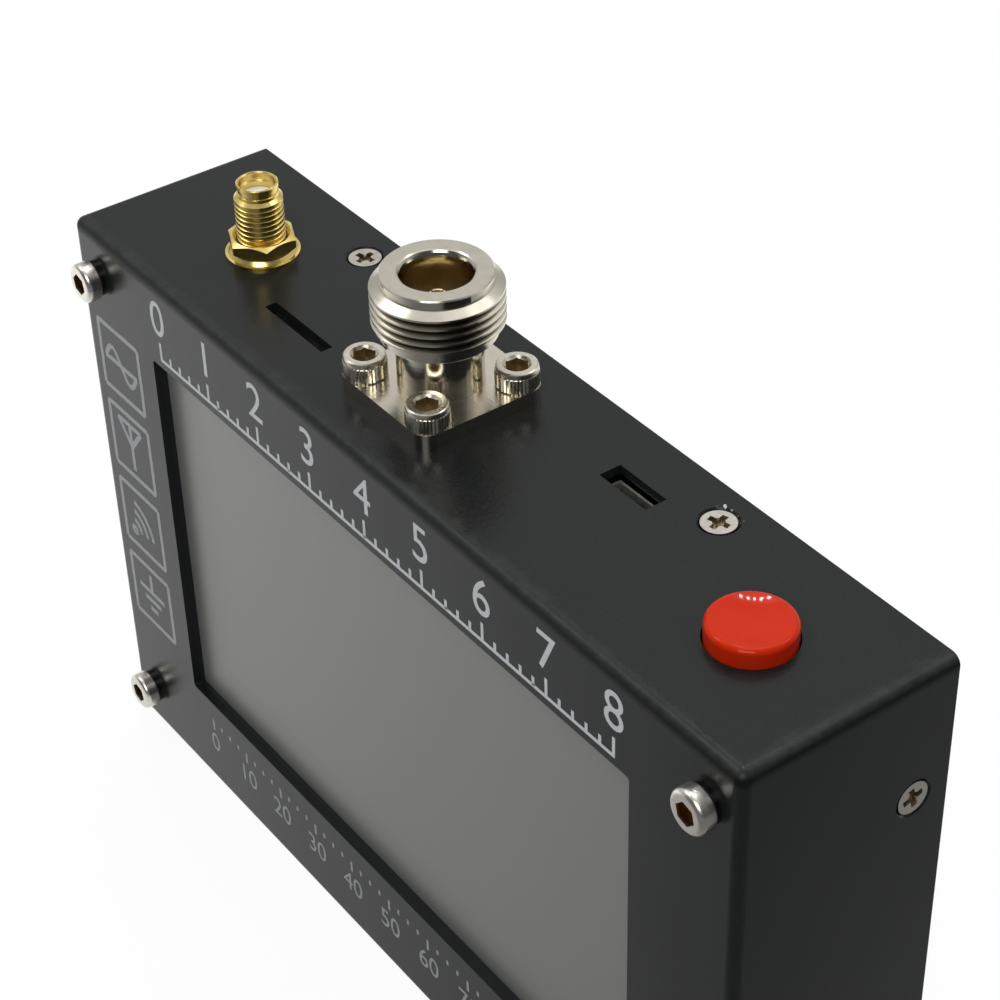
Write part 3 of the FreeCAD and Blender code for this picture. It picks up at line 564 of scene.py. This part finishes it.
# --- Power switch: a grey body soldered to the main board, a waxy white plunger, a wire spring
# and a glossy red cap that is dished for a fingertip. The cap and plunger slide as one. The spring
# is wound again in its node's place.

body_grey = Finish("switch_grey")
body_grey.grain(body_grey.noise(1100.0), colour(46, 46, 48), colour(66, 66, 68), 0.4, 0.6, 0.00001)
body_grey.dress("switch_body")

waxy = Finish("white_insulator", Subsurface_Weight=0.1, Subsurface_Radius=(0.001, 0.001, 0.001))
waxy.grain(waxy.noise(1000.0), colour(222, 220, 212), colour(240, 239, 234), 0.35, 0.55, 0.00001)
waxy.dress("switch_plunger", "jack_insulator", "sma_insulator")

drawn = Finish("drawn_wire", Metallic=1.0)
drawn.grain(drawn.noise(2500.0), colour(150, 150, 148), colour(196, 195, 190), 0.2, 0.4, 0.000003)

spring_low, spring_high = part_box("switch_spring")
wire_radius = 0.0002
wire_corners, steps_per_turn = 12, 28
spring_turns = 5
coil_radius = (spring_high[0] - spring_low[0]) / 2 - wire_radius
switch_top = 0.075
spring_x, spring_y = [(spring_low[axis] + spring_high[axis]) / 2 for axis in (0, 1)]
bpy.ops.mesh.primitive_circle_add(vertices=wire_corners, radius=wire_radius,
                                  location=(coil_radius, 0, 0), rotation=(math.pi / 2, 0, 0))
spring = bpy.context.object
spring.name = "return_spring"
bpy.ops.object.transform_apply(location=True, rotation=True, scale=False)
winding = spring.modifiers.new("winding", "SCREW")
winding.screw_offset = (spring_high[2] - spring_low[2] - 2 * wire_radius) / spring_turns
winding.iterations = spring_turns
winding.steps = winding.render_steps = steps_per_turn
bpy.ops.object.modifier_apply(modifier="winding")
bpy.ops.object.mode_set(mode="EDIT")
bpy.ops.mesh.select_all(action="SELECT")
bpy.ops.mesh.fill_holes(sides=wire_corners)
bpy.ops.mesh.normals_make_consistent(inside=False)
bpy.ops.transform.translate(value=(spring_x, spring_y, spring_low[2] + wire_radius))
bpy.ops.object.mode_set(mode="OBJECT")
bpy.ops.object.shade_smooth_by_angle(angle=math.radians(40))
bpy.ops.object.select_all(action="DESELECT")
spring.data.materials.append(drawn.material)
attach(spring, "case")
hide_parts("switch_spring")
press = next(joint for joint in frame["joints"] if joint["name"] == "button_press")
1 - press["range_m"][1] / (spring_high[2] - switch_top)
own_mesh(spring)

cap_red = Finish("glossy_red", IOR=1.22)
swirl = cap_red.noise(260.0, 2.0)
cap_red.grain(swirl, colour(193, 38, 7), colour(201, 45, 11), 0.035, 0.06, 0.0000015)
cap_red.dress("button_cap")


# --- Battery: a flat foil-wrapped pouch taped to the back plate, with a red and a black lead
# that end in a white plug on the main board.

pouch = Finish("battery_foil", Metallic=0.8)
creases = pouch.noise(220.0, 4.0, (1, 1, 0.4))
pouch.grain(creases, colour(166, 168, 170), colour(212, 213, 214), 0.22, 0.42, 0.00006)
pouch.dress("battery")

for name, node, dark, light in (
        ("red_lead", "battery_lead_positive", colour(150, 10, 8), colour(184, 22, 16)),
        ("black_lead", "battery_lead_negative", colour(16, 16, 16), colour(34, 34, 34))):
    sleeve = Finish(name)
    sleeve.grain(sleeve.noise(1400.0), dark, light, 0.35, 0.5, 0.00001)
    sleeve.dress(node)


# --- Large jack: a nickel-plated body turned from brass on a square flange, a white insulator
# and a slit gold contact down in its bore.

jack_low, jack_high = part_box("jack_contact")
jack_x = (jack_low[0] + jack_high[0]) / 2
jack_y = (jack_low[1] + jack_high[1]) / 2
jack_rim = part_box("jack_body")[1][2]
flange_thickness = 0.0022
thread_radius = 0.00785
thread_foot, thread_head = 0.0949, 0.1004
first_crest = jack_rim - 0.00187
bore_radius = 0.0042
soft_edge = 0.0001
tool_marks_around = 240

nickel = Finish("bright_nickel", Metallic=1.0)
polish = nickel.noise(700.0, 3.0, (1, 1, 5))
x_out, y_out, rise = nickel.axes((-jack_x, -jack_y, 0))
bearing = x_out.maths("ARCTAN2", y_out, x_out)
tool_marks = bearing.maths("SINE", bearing * tool_marks_around)
off_centre = x_out.maths("SQRT", x_out * x_out + y_out * y_out)
past_head = rise.fade(thread_head, thread_head + 2 * soft_edge)
on_thread = rise.fade(thread_foot, thread_foot + 2 * soft_edge) * (1 - past_head)
under_crest = 1 - off_centre.fade(thread_radius - 0.0005, thread_radius - soft_edge)
groove_shade = under_crest * on_thread * (1 - rise.fade(first_crest, first_crest + soft_edge))
within_wall = 1 - off_centre.fade(bore_radius, bore_radius + soft_edge)
in_bore = within_wall * (1 - rise.fade(jack_rim - 0.0009, jack_rim - 0.0006))
flange_top = case_top + flange_thickness
above_flange = rise.fade(flange_top - soft_edge, flange_top)
brushed = nickel.noise(260.0, 4.0, (1, 14, 1)) * (1 - above_flange)
# painted shade: the thread's grooves are coloured darker, for the shade in them
plain_plating = polish.tint(colour(198, 191, 176), colour(214, 208, 195))
plating_with_groove_shade = (groove_shade * 0.8).tint(plain_plating, colour(84, 78, 66))
nickel.link("Base Color", in_bore.tint(plating_with_groove_shade, colour(178, 160, 122)))
nickel.link("Roughness", polish * 0.1 + brushed * 0.12 + 0.1)
nickel.relief(polish + tool_marks * on_thread * 0.6 + brushed * 2.5, 0.000005)
nickel.dress("jack_body")

gilt = Finish("gold_plate", Metallic=1.0)
gilt.grain(gilt.noise(1500.0, 2.0), colour(224, 198, 114), colour(238, 214, 138), 0.22, 0.28, 0.000001)
gilt.dress("sma_body", "sma_contact", "sma_washer", "sma_nut", "header_pins", "coax_plugs",
           "coax_sockets")

# painted highlight: the contact gets a paler, near-white copy of the gold, for the glint on its tip
pin_gold_highlight = Finish("contact_gold_painted_highlight", Metallic=1.0)
pin_gold_highlight.grain(pin_gold_highlight.noise(1500.0, 2.0), colour(250, 236, 190), colour(254, 246, 214),
               0.32, 0.42, 0.000002)
pin_gold_highlight.dress("jack_contact")


# --- Flange screws: four M3 cap screws with knurled heads and hex sockets, nickel-plated steel.
# One is modelled and copied to the other corners of the flange. Their nuts are inside the case.

screw_low, screw_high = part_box("jack_screws")
screw_top = screw_high[2]
head_radius = 0.00267
head_height = 0.0028
head_seat = screw_top - head_height
screw_reach = screw_high[0] - jack_x - head_radius
screw_x, screw_y = jack_x - screw_reach, jack_y - screw_reach
ridges = 40
groove_share = 0.965
shank_radius = 0.00145
collar_radius = 0.00256
hex_flats = 0.0026
hex_corner = hex_flats / math.sqrt(3)
hole_depth = 0.0018
# each ring of the head: its height over the ring before it, and its radius
head_rings = ((0.0, 0.0025), (0.0002, head_radius), (0.0018, head_radius), (0.0001, collar_radius),
              (0.0004, collar_radius), (0.0002, 0.0025), (0.0001, 0.00236), (0.0, 0.0017),
              (-0.0003, 0.00138))
bpy.ops.mesh.primitive_circle_add(vertices=2 * ridges, radius=shank_radius, fill_type="NGON",
                                  location=(screw_x, screw_y, screw_low[2]))
first_screw = bpy.context.object
first_screw.name = "jack_screw_1"
bpy.ops.object.transform_apply(location=True, rotation=False, scale=False)
bpy.ops.object.mode_set(mode="EDIT")
bpy.ops.mesh.extrude_region_move(TRANSFORM_OT_translate={"value": (0, 0, head_seat - screw_low[2])})
last_radius = shank_radius
head_foot = (screw_x, screw_y, head_seat)
for step_up, ring_radius in head_rings:
    growth = ring_radius / last_radius
    bpy.ops.mesh.extrude_region_move(TRANSFORM_OT_translate={"value": (0, 0, step_up)})
    bpy.ops.transform.resize(value=(growth, growth, 1), center_override=head_foot)
    last_radius = ring_radius
bpy.ops.mesh.select_all(action="SELECT")
bpy.ops.mesh.normals_make_consistent(inside=False)
bpy.ops.mesh.select_all(action="DESELECT")
bpy.ops.mesh.select_mode(type="VERT")
bpy.ops.object.mode_set(mode="OBJECT")
# knurling: every second line of corners on the head's side is drawn in
for corner in first_screw.data.vertices:
    x_off, y_off = corner.co.x - screw_x, corner.co.y - screw_y
    line = round(math.atan2(y_off, x_off) / (math.pi / ridges))
    corner.select = line % 2 == 1 and abs(math.hypot(x_off, y_off) - head_radius) < 1e-5
bpy.ops.object.mode_set(mode="EDIT")
bpy.ops.transform.resize(value=(groove_share, groove_share, 1), center_override=head_foot)
bpy.ops.object.mode_set(mode="OBJECT")
bpy.ops.object.select_all(action="DESELECT")
bpy.ops.mesh.primitive_cylinder_add(vertices=6, radius=hex_corner, depth=2 * hole_depth,
                                    location=(screw_x, screw_y, screw_top),
                                    rotation=(0, 0, math.radians(-5)))
key_hole = bpy.context.object
cut = first_screw.modifiers.new("socket", "BOOLEAN")
cut.object = key_hole
cut.solver = "EXACT"
bpy.ops.object.select_all(action="DESELECT")
bpy.context.view_layer.objects.active = first_screw
first_screw.select_set(True)
bpy.ops.object.modifier_apply(modifier="socket")
bpy.ops.object.shade_smooth_by_angle(angle=math.radians(25))
bpy.data.objects.remove(key_hole)

screw_steel = Finish("screw_nickel", Metallic=1.0)
screw_steel.grain(screw_steel.noise(1300.0, 3.0), colour(190, 184, 168), colour(222, 217, 203),
                  0.20, 0.34, 0.000004)
# painted shade: a darker brown copy of the steel for the faces inside each hex socket
socket_shade_steel = Finish("socket_painted_shade", Metallic=1.0)
socket_shade_steel.grain(socket_shade_steel.noise(1300.0, 3.0), colour(138, 122, 94), colour(208, 192, 158),
                   0.26, 0.42, 0.000006)
for finish in (screw_steel, socket_shade_steel):
    first_screw.data.materials.append(finish.material)
# the faces down in each socket take the painted shade
for face in first_screw.data.polygons:
    from_axis = math.hypot(face.center.x - screw_x, face.center.y - screw_y)
    from_top = screw_top - face.center.z
    if from_axis < hex_corner and 0.00025 < from_top < hole_depth + soft_edge:
        face.material_index = 1
screws = [first_screw]
for right_by, back_by in ((1, 0), (1, 1), (0, 1)):
    bpy.ops.object.select_all(action="DESELECT")
    first_screw.select_set(True)
    bpy.context.view_layer.objects.active = first_screw
    bpy.ops.object.duplicate()
    bpy.ops.transform.translate(value=(2 * screw_reach * right_by, 2 * screw_reach * back_by, 0))
    bpy.ops.object.transform_apply(location=True, rotation=False, scale=False)
    screws.append(bpy.context.object)
    screws[-1].name = "jack_screw_%d" % len(screws)
bpy.ops.object.select_all(action="DESELECT")
for screw in screws:
    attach(screw, "case")
    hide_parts("jack_screws")
screw_steel.dress("jack_nuts")


# --- Coax leads: thin cables from both jacks down to small gold plugs on the main board. Their
# jackets are brown.

jacket = Finish("coax_jacket")
jacket.grain(jacket.noise(1500.0), colour(74, 38, 20), colour(98, 54, 30), 0.35, 0.5, 0.00001)
jacket.dress("jack_coax", "sma_coax")


bpy.context.view_layer.update()
